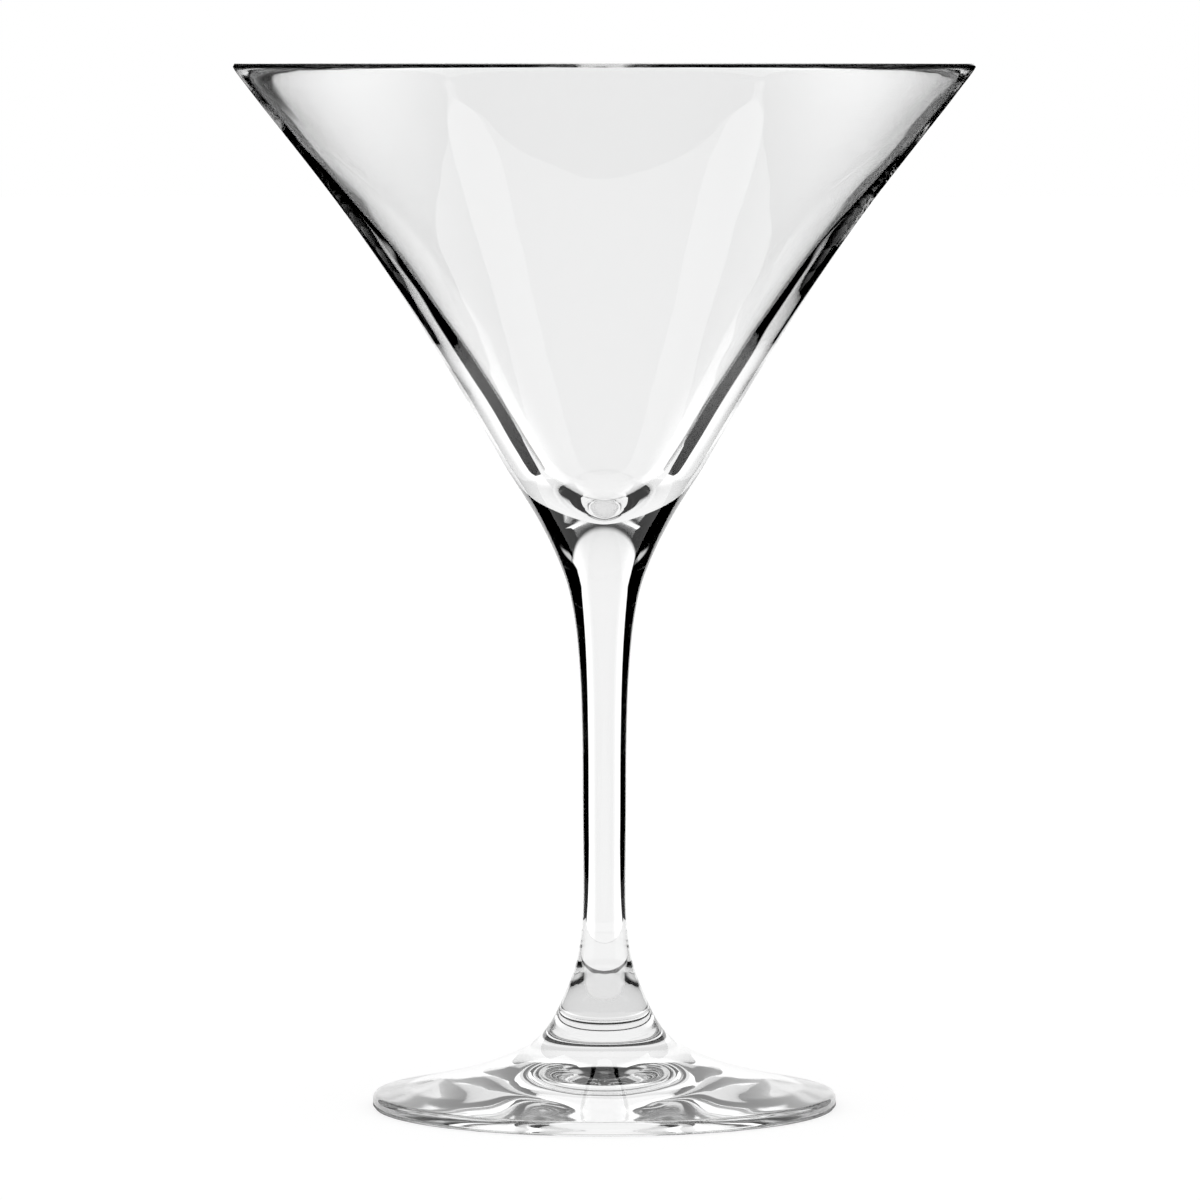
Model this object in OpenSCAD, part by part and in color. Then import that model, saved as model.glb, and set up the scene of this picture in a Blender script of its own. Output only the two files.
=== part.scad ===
// Martini glass: a blown cone bowl, a drawn stem and a pressed foot, fused end to end.
// Millimetres, +Z up. The origin is the centre of the foot's resting plane.

/* [Bowl] */
// Overall height of the glass, from its resting plane to the top of the rim
glass_h = 164.2; // [155:0.1:180]
// Outer diameter at the rim
rim_d = 116.2; // [100:0.2:125]
// Thickness of the glass at the rim, which is also the diameter of the fire-polished edge
rim_wall = 0.95; // [0.8:0.05:1.6]
// Lean of the outer wall from the vertical, just under the rim, in degrees
rim_lean = 35.2; // [30:0.1:42]
// Outer diameter at the shoulder, where the cone narrows into the solid button
shoulder_d = 31.6; // [24:0.2:34]
// Height of the shoulder above the resting plane
shoulder_z = 101.5; // [98:0.1:106]
// Lean of the outer wall from the vertical at the shoulder, in degrees
shoulder_lean = 29.5; // [22:0.5:34]
// Diameter of the hollow where its rounded bottom begins
hollow_d = 21.2; // [18:0.2:24]
// Height above the resting plane at which the hollow's rounded bottom begins
hollow_z = 102.1; // [100:0.1:106]
// Lean of the inner wall from the vertical where the rounded bottom begins, in degrees
hollow_lean = 33; // [28:0.1:38]
// Lean of the inner wall from the vertical, just under the rim, in degrees
inner_rim_lean = 36.3; // [30:0.1:40]
// Height of the hollow's lowest point above the resting plane
hollow_bottom_z = 94.1; // [92:0.1:97]

/* [Stem] */
// Height above the resting plane at which the bowl is fused to the stem
bowl_weld_z = 84.4; // [82:0.1:86]
// Diameter of the fused joint between bowl and stem
bowl_weld_d = 12.9; // [11:0.1:14]
// Lean of the surface from the vertical at the joint between bowl and stem, in degrees
bowl_weld_lean = 20.9; // [16:0.5:26]
// Smallest diameter of the stem
waist_d = 6.85; // [6:0.05:9]
// Height of the smallest diameter above the resting plane
waist_z = 50.3; // [46:0.1:54]

/* [Foot] */
// Outer diameter of the foot
foot_d = 73; // [66:0.2:80]
// Thickness of the foot at its edge
foot_edge_h = 2.2; // [1.6:0.1:3]
// Height above the resting plane at which the stem is fused to the foot
foot_weld_z = 19.7; // [18:0.1:21]
// Diameter of the fused joint between stem and foot
foot_weld_d = 10.9; // [9.5:0.1:12]
// Lean of the surface from the vertical at the joint between stem and foot, in degrees
foot_weld_lean = 22.8; // [16:0.5:28]
// Diameter at which the trumpet of the foot turns into its shallow dome
dome_d = 35.4; // [30:0.2:40]
// Height of the foot at that diameter
dome_z = 7; // [6:0.1:8]
// Fall of the foot's top at that diameter, from the horizontal, in degrees
dome_fall = 21.7; // [15:0.5:26]
// Fall of the foot's top at its edge, from the horizontal, in degrees
edge_fall = 11.3; // [6:0.5:14]
// Width of the flat ring on which the foot rests
rest_w = 4.4; // [1.5:0.1:6]
// Height of the hollow under the foot, at the centre
under_h = 4; // [1:0.1:4.5]

/* [Hidden] */
$fn = 128;
curve_steps = 14;
round_steps = 16;
clear_glass = [0.86, 0.92, 0.93, 0.45];

// How far each outline curve holds its direction at its two ends
rim_reach = 15;
shoulder_reach_up = 43.8;
shoulder_reach_down = 4;
bowl_weld_reach_up = 9;
bowl_weld_reach_down = 4.8;
waist_reach_up = 22;
waist_reach_down = 15.3;
foot_weld_reach_up = 7.5;
foot_weld_reach_down = 9;
dome_reach_in = 8.6;
dome_reach_out = 6;
edge_reach = 4.6;
inner_rim_reach = 28.6;
hollow_reach_up = 42.5;
hollow_reach_down = 3.5;
hollow_bottom_reach = 2.8;
under_reach = 12;

// Rounding of the foot's edge
edge_r = 0.5;

// A direction in the outline's plane: lean is measured from straight up towards outside
function heading(lean) = [sin(lean), cos(lean)];

// A point of the cubic curve from a to d that is pulled towards b and c
function cubic(a, b, c, d, t) =
    pow(1 - t, 3) * a + 3 * t * pow(1 - t, 2) * b + 3 * pow(t, 2) * (1 - t) * c + pow(t, 3) * d;

// A smooth curve from one point to another, with its heading and its reach at each end
function sweep(from, from_lean, from_reach, to, to_lean, to_reach, steps = curve_steps) = [
    for (i = [0 : steps])
        cubic(
            from,
            from + from_reach * heading(from_lean),
            to - to_reach * heading(to_lean),
            to,
            i / steps
        )
];

// An arc of radius r about a centre, from one polar angle to another
function arc(centre, r, from, to, steps = round_steps) = [
    for (i = [0 : steps])
        centre + r * [cos(from + (to - from) * i / steps), sin(from + (to - from) * i / steps)]
];

// A list without its first point, for joining on to a curve that already ends there
function rest(list) = [for (i = [1 : len(list) - 1]) list[i]];

// The stations of the outline, as radius and height
rim_lip_r = rim_wall / 2;
rim_centre = [rim_d / 2 - rim_lip_r, glass_h - rim_lip_r];
rim_outside = rim_centre + rim_lip_r * [cos(rim_lean), -sin(rim_lean)];
rim_inside = rim_centre - rim_lip_r * [cos(inner_rim_lean), -sin(inner_rim_lean)];
shoulder = [shoulder_d / 2, shoulder_z];
hollow = [hollow_d / 2, hollow_z];
bowl_weld = [bowl_weld_d / 2, bowl_weld_z];
waist = [waist_d / 2, waist_z];
foot_weld = [foot_weld_d / 2, foot_weld_z];
dome = [dome_d / 2, dome_z];
edge_top_centre = [foot_d / 2 - edge_r, foot_edge_h - edge_r];
edge_top = edge_top_centre + edge_r * [sin(edge_fall), cos(edge_fall)];
edge_low_centre = [foot_d / 2 - edge_r, edge_r];
rest_inside = [foot_d / 2 - edge_r - rest_w, 0];

outward = 90;
downward = 180;

module bowl() {
    outside = concat(
        sweep(
            bowl_weld, bowl_weld_lean, bowl_weld_reach_up,
            shoulder, shoulder_lean, shoulder_reach_down
        ),
        rest(sweep(shoulder, shoulder_lean, shoulder_reach_up, rim_outside, rim_lean, rim_reach))
    );
    lip = arc(rim_centre, rim_lip_r, -rim_lean, downward - inner_rim_lean);
    inside = concat(
        rest(sweep(
            rim_inside, inner_rim_lean + downward, inner_rim_reach,
            hollow, hollow_lean + downward, hollow_reach_up
        )),
        rest(sweep(
            hollow, hollow_lean + downward, hollow_reach_down,
            [0, hollow_bottom_z], -outward, hollow_bottom_reach
        ))
    );
    color(clear_glass)
    rotate_extrude()
    polygon(concat([[0, bowl_weld_z]], outside, rest(lip), inside));
}

module stem() {
    outside = concat(
        sweep(foot_weld, -foot_weld_lean, foot_weld_reach_up, waist, 0, waist_reach_down),
        rest(sweep(waist, 0, waist_reach_up, bowl_weld, bowl_weld_lean, bowl_weld_reach_down))
    );
    color(clear_glass)
    rotate_extrude()
    polygon(concat([[0, foot_weld_z]], outside, [[0, bowl_weld_z]]));
}

module foot() {
    top = concat(
        sweep(
            foot_weld, downward - foot_weld_lean, foot_weld_reach_down,
            dome, outward + dome_fall, dome_reach_in
        ),
        rest(sweep(
            dome, outward + dome_fall, dome_reach_out,
            edge_top, outward + edge_fall, edge_reach
        ))
    );
    edge = concat(
        rest(arc(edge_top_centre, edge_r, outward - edge_fall, 0)),
        arc(edge_low_centre, edge_r, 0, -outward)
    );
    underside = sweep(
        rest_inside, -outward, under_reach,
        [0, under_h], -outward, under_reach
    );
    color(clear_glass)
    rotate_extrude()
    polygon(concat([[0, foot_weld_z]], top, edge, underside));
}

bowl();
stem();
foot();
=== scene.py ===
"""Martini glass: three fused pieces of clear glass, turned smoothly on the outlines of the CAD frame."""

import math

import bmesh
import bpy
import numpy as np
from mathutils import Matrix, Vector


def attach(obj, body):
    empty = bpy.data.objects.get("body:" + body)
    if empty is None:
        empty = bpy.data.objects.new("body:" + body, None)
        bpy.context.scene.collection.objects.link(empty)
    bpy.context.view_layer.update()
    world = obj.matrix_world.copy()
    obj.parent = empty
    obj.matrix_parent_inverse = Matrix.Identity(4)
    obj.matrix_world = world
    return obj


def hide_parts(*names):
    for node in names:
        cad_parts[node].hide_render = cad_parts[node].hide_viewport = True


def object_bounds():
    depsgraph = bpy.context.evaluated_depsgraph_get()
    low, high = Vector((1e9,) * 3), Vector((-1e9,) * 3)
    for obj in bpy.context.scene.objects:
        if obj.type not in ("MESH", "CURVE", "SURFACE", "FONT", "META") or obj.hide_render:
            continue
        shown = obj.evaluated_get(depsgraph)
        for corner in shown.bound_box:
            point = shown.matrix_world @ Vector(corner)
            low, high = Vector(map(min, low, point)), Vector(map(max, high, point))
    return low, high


MM = 0.001

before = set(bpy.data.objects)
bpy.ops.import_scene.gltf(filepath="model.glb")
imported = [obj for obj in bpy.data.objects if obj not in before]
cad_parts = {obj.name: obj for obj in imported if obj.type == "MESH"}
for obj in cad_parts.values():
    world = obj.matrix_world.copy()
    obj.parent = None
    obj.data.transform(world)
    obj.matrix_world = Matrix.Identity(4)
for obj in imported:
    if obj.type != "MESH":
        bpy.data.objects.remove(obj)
cad_low, cad_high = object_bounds()
TOP = cad_high.z

# ---------------------------------------------------------------- camera

LENS = 241.7
CAMERA_AWAY = 1263.2 * MM
CAMERA_HEIGHT = TOP + 1.66 * MM
CAMERA_LEFT = 0.7 * MM
CAMERA_DOWN = math.radians(3.887)
CLIP_NEAR = 0.05
CLIP_FAR = 60.0


def make_camera():
    """A long lens just above the rim, tilted a little down, looking along +Y."""
    data = bpy.data.cameras.new("camera")
    data.lens = LENS
    data.clip_start = CLIP_NEAR
    data.clip_end = CLIP_FAR
    camera = bpy.data.objects.new("camera", data)
    camera.location = (-CAMERA_LEFT, -CAMERA_AWAY, CAMERA_HEIGHT)
    camera.rotation_euler = (math.pi / 2 - CAMERA_DOWN, 0.0, 0.0)
    bpy.context.scene.collection.objects.link(camera)
    bpy.context.scene.camera = camera
    return camera


# ---------------------------------------------------------------- outlines of the CAD nodes

# Vertices this near in radius and height are on one ring
SAME_RING = 0.004 * MM
# A turn below the first angle is a straight line, and one above the second is a corner
STRAIGHT = math.radians(0.05)
CORNER = math.radians(20)
# The extra point beside each end of a stretch, which keeps the shading crisp at a corner
END_STEP = 0.02 * MM


def rings_of(node):
    """The CAD node's outline: its rings of vertices as (radius, height), in order along the surface."""
    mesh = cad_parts[node].data
    points = np.array([v.co for v in mesh.vertices], float)
    flat = np.c_[np.hypot(points[:, 0], points[:, 1]), points[:, 2]]
    rings, ring_of = [], []
    for p in flat:
        near = [i for i, q in enumerate(rings) if abs(p - q).max() < SAME_RING]
        if not near:
            rings.append(p)
        ring_of.append(near[0] if near else len(rings) - 1)
    links = {i: set() for i in range(len(rings))}
    for edge in mesh.edges:
        a, b = (ring_of[v] for v in edge.vertices)
        if a != b:
            links[a].add(b)
            links[b].add(a)
    ends = [i for i in links if len(links[i]) == 1]
    chain = [min(ends, key=lambda i: rings[i][1])]
    while True:
        onward = [i for i in links[chain[-1]] if i not in chain]
        if not onward:
            break
        chain.append(onward[0])
    return np.array([rings[i] for i in chain])


def turns(chain):
    """The angle by which the outline turns at each of its inner points."""
    steps = np.diff(chain, axis=0)
    heading = np.unwrap(np.arctan2(steps[:, 1], steps[:, 0]))
    return np.abs(np.diff(heading))


def stretches(chain):
    """The outline cut at its corners. Points that only divide a straight line are left out."""
    angle = np.r_[0.0, turns(chain), 0.0]
    cuts = [0, *np.nonzero(angle > CORNER)[0], len(chain) - 1]
    found = []
    for a, b in zip(cuts[:-1], cuts[1:]):
        keep = [i for i in range(a, b + 1) if i in (a, b) or angle[i] > STRAIGHT]
        found.append(chain[keep])
    return found


def smooth(points, step):
    """A natural cubic spline through the points, about one point a step."""
    along = np.r_[0.0, np.cumsum(np.hypot(*np.diff(points, axis=0).T))]
    n = len(points)
    gap = np.diff(along)
    system = np.eye(n)
    right = np.zeros((n, 2))
    for i in range(1, n - 1):
        system[i, i - 1 : i + 2] = gap[i - 1], 2 * (gap[i - 1] + gap[i]), gap[i]
        right[i] = 6 * (
            (points[i + 1] - points[i]) / gap[i] - (points[i] - points[i - 1]) / gap[i - 1]
        )
    bend = np.linalg.solve(system, right)
    at = np.linspace(0.0, along[-1], max(2, round(along[-1] / step) + 1))
    at = np.r_[at[0], at[0] + END_STEP, at[1:-1], at[-1] - END_STEP, at[-1]]
    i = np.clip(np.searchsorted(along, at, side="right") - 1, 0, n - 2)
    h, u, v = gap[i][:, None], (at - along[i])[:, None], (along[i + 1] - at)[:, None]
    return (
        (bend[i] * v**3 + bend[i + 1] * u**3) / (6 * h)
        + (points[i] / h - bend[i] * h / 6) * v
        + (points[i + 1] / h - bend[i + 1] * h / 6) * u
    )


def outline(node, step):
    """The node's outline, smooth between its corners."""
    parts = [smooth(p, step) for p in stretches(rings_of(node))]
    return np.vstack([parts[0]] + [p[1:] for p in parts[1:]])


# ---------------------------------------------------------------- turned meshes

SEGMENTS = 280
OUTLINE_STEP = 0.6 * MM
ON_AXIS = 0.001 * MM


def keep_caps_crisp(mesh, caps):
    """A hard edge round each end disc, so the turned surface keeps its own direction there."""
    around = {mesh.loops[k].edge_index for i in caps for k in mesh.polygons[i].loop_indices}
    for i in around:
        mesh.edges[i].use_edge_sharp = True


def turned(name, chain, materials):
    """A closed mesh of revolution. Its flat end discs get the second material."""
    angle = np.arange(SEGMENTS) * 2 * math.pi / SEGMENTS
    vertices, rows = [], []
    for radius, height in chain:
        if radius < ON_AXIS:
            rows.append([len(vertices)])
            vertices.append((0.0, 0.0, height))
        else:
            rows.append(list(range(len(vertices), len(vertices) + SEGMENTS)))
            vertices += [(radius * math.cos(a), radius * math.sin(a), height) for a in angle]
    faces = []
    for low, high in zip(rows[:-1], rows[1:]):
        for k in range(SEGMENTS):
            m = (k + 1) % SEGMENTS
            if len(low) == 1:
                faces.append((low[0], high[m], high[k]))
            elif len(high) == 1:
                faces.append((low[k], low[m], high[0]))
            else:
                faces.append((low[k], low[m], high[m], high[k]))
    caps = []
    for row, turn in ((rows[0], -1), (rows[-1], 1)):
        if len(row) > 1:
            caps.append(len(faces))
            faces.append(tuple(row[::turn]))
    mesh = bpy.data.meshes.new(name)
    mesh.from_pydata(vertices, [], faces)
    mesh.polygons.foreach_set("use_smooth", [i not in caps for i in range(len(faces))])
    for material in materials:
        mesh.materials.append(material)
    for i in caps:
        mesh.polygons[i].material_index = 1
    mesh.validate()
    keep_caps_crisp(mesh, caps)
    mesh.update()
    piece = bpy.data.objects.new(name, mesh)
    bpy.context.scene.collection.objects.link(piece)
    return piece


# ---------------------------------------------------------------- materials


def material(name):
    """An empty material, with its node tree and output."""
    made = bpy.data.materials.new(name)
    made.use_nodes = True
    tree = made.node_tree
    tree.nodes.clear()
    output = tree.nodes.new("ShaderNodeOutputMaterial")
    return made, tree, output


def math_node(tree, kind, *values):
    """The output of a maths node. Each value is a number or another node's output."""
    node = tree.nodes.new("ShaderNodeMath")
    node.operation = kind
    for socket, value in zip(node.inputs, values):
        if isinstance(value, (int, float)):
            socket.default_value = value
        else:
            tree.links.new(value, socket)
    return node.outputs[0]


def under(tree, value, edge, soft):
    """One where the value is under the edge and nought over it, with a soft step between."""
    step = tree.nodes.new("ShaderNodeMapRange")
    step.interpolation_type = "SMOOTHSTEP"
    step.inputs["From Min"].default_value = edge - soft
    step.inputs["From Max"].default_value = edge + soft
    step.inputs["To Min"].default_value = 1.0
    step.inputs["To Max"].default_value = 0.0
    tree.links.new(value, step.inputs["Value"])
    return step.outputs["Result"]


def over(tree, value, edge, soft):
    """One where the value is over the edge and nought under it, with a soft step between."""
    return math_node(tree, "SUBTRACT", 1.0, under(tree, value, edge, soft))


def beyond(tree, value, edge, slope):
    """How far the value is over the edge, times the slope; nought below the edge."""
    past = math_node(tree, "MAXIMUM", math_node(tree, "SUBTRACT", value, edge), 0.0)
    return math_node(tree, "MULTIPLY", past, slope)


GLASS_COLOUR = (0.997, 0.998, 0.998, 1.0)
GLASS_IOR = 1.52
# Waves and specks to a metre. The waves are longer along the axis of the glass than across it
WAVES_ROUND = 90.0
WAVES_ALONG = 22.0
WAVE_DETAIL = 1.0
WAVE_DEPTH = 0.06 * MM
SPECKS = 900.0
SPECK_DETAIL = 2.0
SPECK_FROM = 0.6
# Roughness that the specks and the worn resting ring add, and how far up the wear reaches
HANDLED = 0.004
WORN = 0.06
WORN_UP = 0.15 * MM


def stretched_noise(tree, point, scales, detail):
    """A noise pattern on the piece's own axes, stretched by its three scales."""
    stretch = tree.nodes.new("ShaderNodeVectorMath")
    stretch.operation = "MULTIPLY"
    stretch.inputs[1].default_value = scales
    tree.links.new(point, stretch.inputs[0])
    noise = tree.nodes.new("ShaderNodeTexNoise")
    noise.inputs["Scale"].default_value = 1.0
    noise.inputs["Detail"].default_value = detail
    tree.links.new(stretch.outputs[0], noise.inputs["Vector"])
    return noise.outputs[0]


def blown_waves(tree, point):
    """The long soft waves that drawing and turning leave in the surface, as a bump."""
    bump = tree.nodes.new("ShaderNodeBump")
    bump.inputs["Strength"].default_value = 1.0
    bump.inputs["Distance"].default_value = WAVE_DEPTH
    waves = stretched_noise(tree, point, (WAVES_ROUND, WAVES_ROUND, WAVES_ALONG), WAVE_DETAIL)
    tree.links.new(waves, bump.inputs["Height"])
    return bump.outputs["Normal"]


def handled_roughness(tree, point):
    """Polished glass with a few faint specks of handling, and the foot's resting ring worn matt."""
    specks = stretched_noise(tree, point, (SPECKS, SPECKS, SPECKS), SPECK_DETAIL)
    marks = beyond(tree, specks, SPECK_FROM, HANDLED)
    axes = tree.nodes.new("ShaderNodeSeparateXYZ")
    tree.links.new(point, axes.inputs[0])
    worn = math_node(tree, "MULTIPLY", under(tree, axes.outputs["Z"], WORN_UP, WORN_UP), WORN)
    return math_node(tree, "ADD", marks, worn)


def clear_glass():
    """Colourless soda glass, with the faint waves of blowing and the wear of use."""
    made, tree, output = material("clear_glass")
    place = tree.nodes.new("ShaderNodeTexCoord")
    point = place.outputs["Object"]
    glass = tree.nodes.new("ShaderNodeBsdfPrincipled")
    glass.inputs["Base Color"].default_value = GLASS_COLOUR
    glass.inputs["IOR"].default_value = GLASS_IOR
    glass.inputs["Transmission Weight"].default_value = 1.0
    tree.links.new(handled_roughness(tree, point), glass.inputs["Roughness"])
    tree.links.new(blown_waves(tree, point), glass.inputs["Normal"])
    tree.links.new(glass.outputs["BSDF"], output.inputs["Surface"])
    return made


def fused_face():
    """The two faces inside a fused joint. Light passes them as it does in one body of glass."""
    made, tree, output = material("fused_face")
    clear = tree.nodes.new("ShaderNodeBsdfTransparent")
    tree.links.new(clear.outputs["BSDF"], output.inputs["Surface"])
    return made


# ---------------------------------------------------------------- stage

WHITE = (1.0, 1.0, 1.0)
BLACK = (0.0, 0.0, 0.0)
MATT = 0.9
SKY_GLOW = 1.0
FLOOR_HALF = 8.0
FLOOR_GLOW = 0.78
FLOOR_COLOUR = (0.25, 0.25, 0.25)

# The bright panel behind the glass, and how it widens from its waist
PANEL_AWAY = 95 * MM
PANEL_GLOW = 0.97
PANEL_RIM_GLOW = 0.3
PANEL_RIM_FROM = 36 * MM
PANEL_RIM_SOFT = 14 * MM
PANEL_WAIST = 51 * MM
PANEL_WAIST_UP = 118 * MM
PANEL_FLARE = 0.24
PANEL_FLARE_REACH = 62 * MM
PANEL_SPILL = 0.9
PANEL_SPILL_UP = 32 * MM
PANEL_CORNER = 0.5
PANEL_CORNER_UP = 147 * MM
PANEL_HALF_SOFT = 1.5 * MM
PANEL_TOP = 178 * MM
PANEL_TOP_SOFT = 11 * MM
SURROUND_HALF = 250 * MM
SURROUND_TOP = 600 * MM

# The dome of the dark studio, and the low light on either side
DOME_RADIUS = 5.0
DOME_SEGMENTS = 64
DOME_RINGS = 32
SIDE_GLOW = 0.65
SIDE_FROM = math.radians(76)
SIDE_TO = math.radians(128)
SIDE_TOP = math.radians(18)
SIDE_SOFT = math.radians(5)

# The cards on the table, and the lit sheet between them
CARD_GAP = 117 * MM
CARD_REACH = 4.0
CARD_LEVEL = -0.1 * MM
FRONT_FROM = 60 * MM
FRONT_GLOW = 0.22
SHEET_GLOW = 0.95
# The sheet is darker within about 34 mm of the axis: a painted soft shadow of the foot
SHEET_PAINTED_SHADOW = 0.18
SHEET_PAINTED_SHADOW_HALF = 34 * MM
SHEET_PAINTED_SHADOW_SOFT = 10 * MM

# A painted contact shadow: the dark ring on the sheet under the foot's resting ring
PAINTED_CONTACT_SHADOW = 0.95
CONTACT_SHADOW_RADIUS = 34.4 * MM
CONTACT_SHADOW_HALF = 3.3 * MM
CONTACT_SHADOW_SOFT = 0.6 * MM


def make_world():
    """White all round. It is the backdrop and lights the floor, but the glass sees the studio."""
    world = bpy.data.worlds.new("world")
    bpy.context.scene.world = world
    world.use_nodes = True
    tree = world.node_tree
    tree.nodes.clear()
    output = tree.nodes.new("ShaderNodeOutputWorld")
    sky = tree.nodes.new("ShaderNodeBackground")
    sky.inputs["Color"].default_value = (*WHITE, 1.0)
    sky.inputs["Strength"].default_value = SKY_GLOW
    tree.links.new(sky.outputs["Background"], output.inputs["Surface"])


def plain(name, colour, glow=0.0):
    """A matt material of one colour, which may also glow white."""
    made, tree, output = material(name)
    surface = tree.nodes.new("ShaderNodeBsdfPrincipled")
    surface.inputs["Base Color"].default_value = (*colour, 1.0)
    surface.inputs["Roughness"].default_value = MATT
    surface.inputs["Specular IOR Level"].default_value = 0.0
    surface.inputs["Emission Color"].default_value = (*WHITE, 1.0)
    surface.inputs["Emission Strength"].default_value = glow
    tree.links.new(surface.outputs["BSDF"], output.inputs["Surface"])
    return made


def polygon(name, corners, surface):
    """A flat polygon of the stage."""
    mesh = bpy.data.meshes.new(name)
    mesh.from_pydata(corners, [], [range(len(corners))])
    mesh.materials.append(surface)
    made = bpy.data.objects.new(name, mesh)
    bpy.context.scene.collection.objects.link(made)
    return made


def floor_sheet(name, x0, x1, y0, y1, height, surface):
    """A level rectangle of the stage."""
    corners = [(x0, y0, height), (x1, y0, height), (x1, y1, height), (x0, y1, height)]
    return polygon(name, corners, surface)


def glowing(name, brightness):
    """A material that only gives light. brightness(tree, x, y, z) makes its pattern, on its own axes."""
    made, tree, output = material(name)
    place = tree.nodes.new("ShaderNodeTexCoord")
    axes = tree.nodes.new("ShaderNodeSeparateXYZ")
    tree.links.new(place.outputs["Object"], axes.inputs[0])
    glow = tree.nodes.new("ShaderNodeEmission")
    tree.links.new(brightness(tree, *axes.outputs), glow.inputs["Strength"])
    tree.links.new(glow.outputs[0], output.inputs["Surface"])
    return made


def panel_brightness(tree, x, y, z):
    """A white panel between black: narrowest at mid height, wide at the table and at its upper right."""
    away = math_node(tree, "ABSOLUTE", x)
    height = math_node(tree, "ABSOLUTE", math_node(tree, "SUBTRACT", z, PANEL_WAIST_UP))
    reach = math_node(tree, "MINIMUM", height, PANEL_FLARE_REACH)
    flare = math_node(tree, "MULTIPLY", reach, PANEL_FLARE)
    spill = beyond(tree, math_node(tree, "MULTIPLY", z, -1.0), -PANEL_SPILL_UP, PANEL_SPILL)
    right = math_node(tree, "GREATER_THAN", x, 0.0)
    corner = math_node(tree, "MULTIPLY", beyond(tree, z, PANEL_CORNER_UP, PANEL_CORNER), right)
    widening = math_node(tree, "ADD", flare, math_node(tree, "ADD", spill, corner))
    across = under(
        tree, math_node(tree, "SUBTRACT", away, widening), PANEL_WAIST, PANEL_HALF_SOFT
    )
    up = under(tree, z, PANEL_TOP, PANEL_TOP_SOFT)
    rim = math_node(
        tree, "MULTIPLY", over(tree, away, PANEL_RIM_FROM, PANEL_RIM_SOFT), PANEL_RIM_GLOW
    )
    glow = math_node(tree, "ADD", rim, PANEL_GLOW)
    return math_node(tree, "MULTIPLY", math_node(tree, "MULTIPLY", across, up), glow)


def sheet_brightness(tree, x, y, z):
    """The lit table round the glass, with a painted soft shadow under the foot and a painted contact
    shadow ring.
    """
    reach = tree.nodes.new("ShaderNodeVectorMath")
    reach.operation = "LENGTH"
    flat = tree.nodes.new("ShaderNodeCombineXYZ")
    tree.links.new(x, flat.inputs["X"])
    tree.links.new(y, flat.inputs["Y"])
    tree.links.new(flat.outputs[0], reach.inputs[0])
    # Painted soft shadow of the foot: the sheet's glow is lowered round the axis
    painted_foot_shadow = under(tree, reach.outputs["Value"], SHEET_PAINTED_SHADOW_HALF, SHEET_PAINTED_SHADOW_SOFT)
    lit = math_node(tree, "SUBTRACT", SHEET_GLOW, math_node(tree, "MULTIPLY", painted_foot_shadow, SHEET_PAINTED_SHADOW))
    # Painted contact shadow: a dark ring in the sheet's glow round the foot's resting ring
    off_ring = math_node(tree, "SUBTRACT", reach.outputs["Value"], CONTACT_SHADOW_RADIUS)
    painted_contact_ring = under(tree, math_node(tree, "ABSOLUTE", off_ring), CONTACT_SHADOW_HALF, CONTACT_SHADOW_SOFT)
    kept = math_node(tree, "SUBTRACT", 1.0, math_node(tree, "MULTIPLY", painted_contact_ring, PAINTED_CONTACT_SHADOW))
    return math_node(tree, "MULTIPLY", lit, kept)


def dome_brightness(tree, x, y, z):
    """A dark studio, with a low soft light at either side of the glass."""
    aside = math_node(tree, "ABSOLUTE", math_node(tree, "ARCTAN2", x, y))
    across, along = (math_node(tree, "MULTIPLY", v, v) for v in (x, y))
    level = math_node(tree, "SQRT", math_node(tree, "ADD", across, along))
    rise = math_node(tree, "ARCTAN2", z, level)
    side = math_node(
        tree,
        "MULTIPLY",
        over(tree, aside, SIDE_FROM, SIDE_SOFT),
        under(tree, aside, SIDE_TO, SIDE_SOFT),
    )
    low = under(tree, rise, SIDE_TOP, SIDE_SOFT)
    return math_node(tree, "MULTIPLY", math_node(tree, "MULTIPLY", side, low), SIDE_GLOW)


def make_dome():
    """The studio round the stage, as one large sphere."""
    mesh = bpy.data.meshes.new("studio_dome")
    shell = bmesh.new()
    bmesh.ops.create_uvsphere(
        shell, u_segments=DOME_SEGMENTS, v_segments=DOME_RINGS, radius=DOME_RADIUS
    )
    shell.to_mesh(mesh)
    shell.free()
    mesh.materials.append(glowing("studio_dome", dome_brightness))
    dome = bpy.data.objects.new("studio_dome", mesh)
    bpy.context.scene.collection.objects.link(dome)
    return dome


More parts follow.
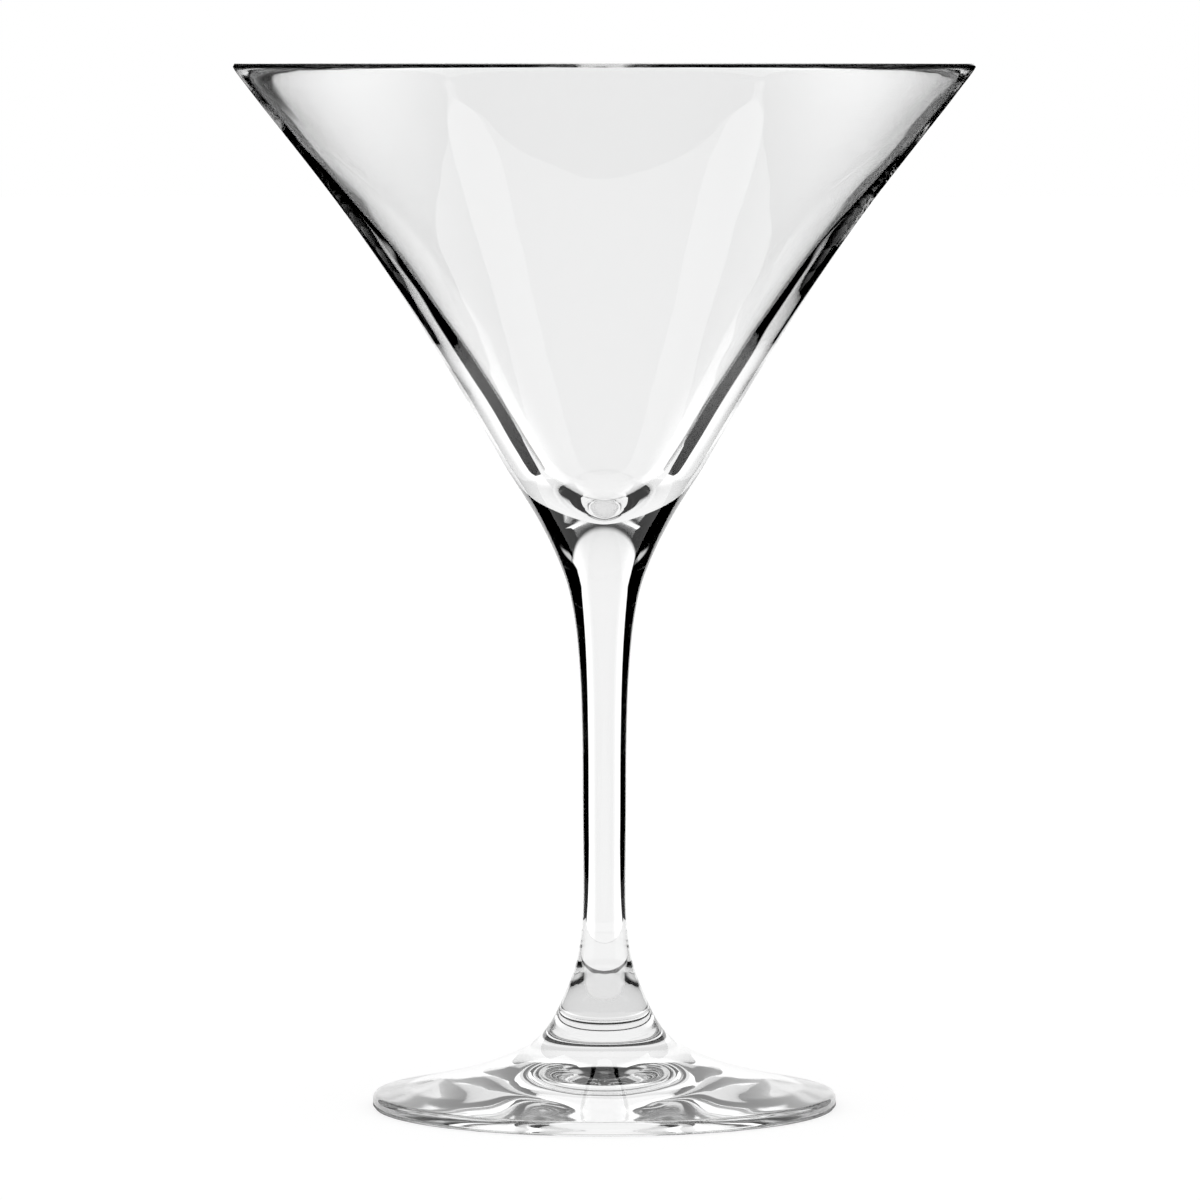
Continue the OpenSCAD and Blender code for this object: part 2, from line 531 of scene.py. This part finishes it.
def make_rig(camera):
    """What the glass sees round it, hidden from the camera. The rig turns with the camera."""
    rig = bpy.data.objects.new("studio_rig", None)
    bpy.context.scene.collection.objects.link(rig)
    turn = rig.constraints.new("COPY_ROTATION")
    turn.target = camera
    turn.use_x = False
    turn.use_y = False
    w, h, y = SURROUND_HALF, SURROUND_TOP, PANEL_AWAY
    corners = [(-w, y, 0.0), (w, y, 0.0), (w, y, h), (-w, y, h)]
    panel = polygon("bright_panel", corners, glowing("bright_panel", panel_brightness))
    black = plain("dark_card", BLACK)
    grey = plain("grey_card", BLACK, FRONT_GLOW)
    far, gap = CARD_REACH, CARD_GAP
    right = floor_sheet("dark_card_right", gap, far, -far, PANEL_AWAY, CARD_LEVEL, black)
    left = floor_sheet("dark_card_left", -far, -gap, -far, PANEL_AWAY, CARD_LEVEL, black)
    back = floor_sheet("dark_card_back", -far, far, PANEL_AWAY, far, CARD_LEVEL, black)
    front = floor_sheet("grey_card_front", -gap, gap, -far, -FRONT_FROM, CARD_LEVEL, grey)
    glow = glowing("table_sheet", sheet_brightness)
    sheet = floor_sheet("table_sheet", -gap, gap, -FRONT_FROM, PANEL_AWAY, CARD_LEVEL, glow)
    for thing in (panel, make_dome(), right, left, back, front, sheet):
        thing.visible_camera = False
        thing.visible_diffuse = False
        thing.visible_shadow = False
        thing.parent = rig


def make_stage(camera):
    """The floor that the camera sees, and the rig that the glass sees."""
    floor = plain("floor", FLOOR_COLOUR, FLOOR_GLOW)
    sheet = floor_sheet("floor", -FLOOR_HALF, FLOOR_HALF, -FLOOR_HALF, FLOOR_HALF, 0.0, floor)
    sheet.visible_glossy = False
    sheet.visible_transmission = False
    make_rig(camera)


# ---------------------------------------------------------------- build


BOUNCES = 128
CLEAR_BOUNCES = 16


def set_light_paths():
    """Enough bounces for light that travels along the inside of the wall and stem."""
    cycles = bpy.context.scene.cycles
    cycles.max_bounces = BOUNCES
    cycles.transmission_bounces = BOUNCES
    cycles.glossy_bounces = BOUNCES
    cycles.transparent_max_bounces = CLEAR_BOUNCES
    cycles.caustics_reflective = True
    cycles.caustics_refractive = True
    bpy.context.scene.view_settings.view_transform = "Standard"


make_world()
make_stage(make_camera())
set_light_paths()
surfaces = [clear_glass(), fused_face()]
for node in ("bowl", "stem", "foot"):
    piece = turned("glass_" + node, outline(node, OUTLINE_STEP), surfaces)
    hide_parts(node)
    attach(piece, "root")
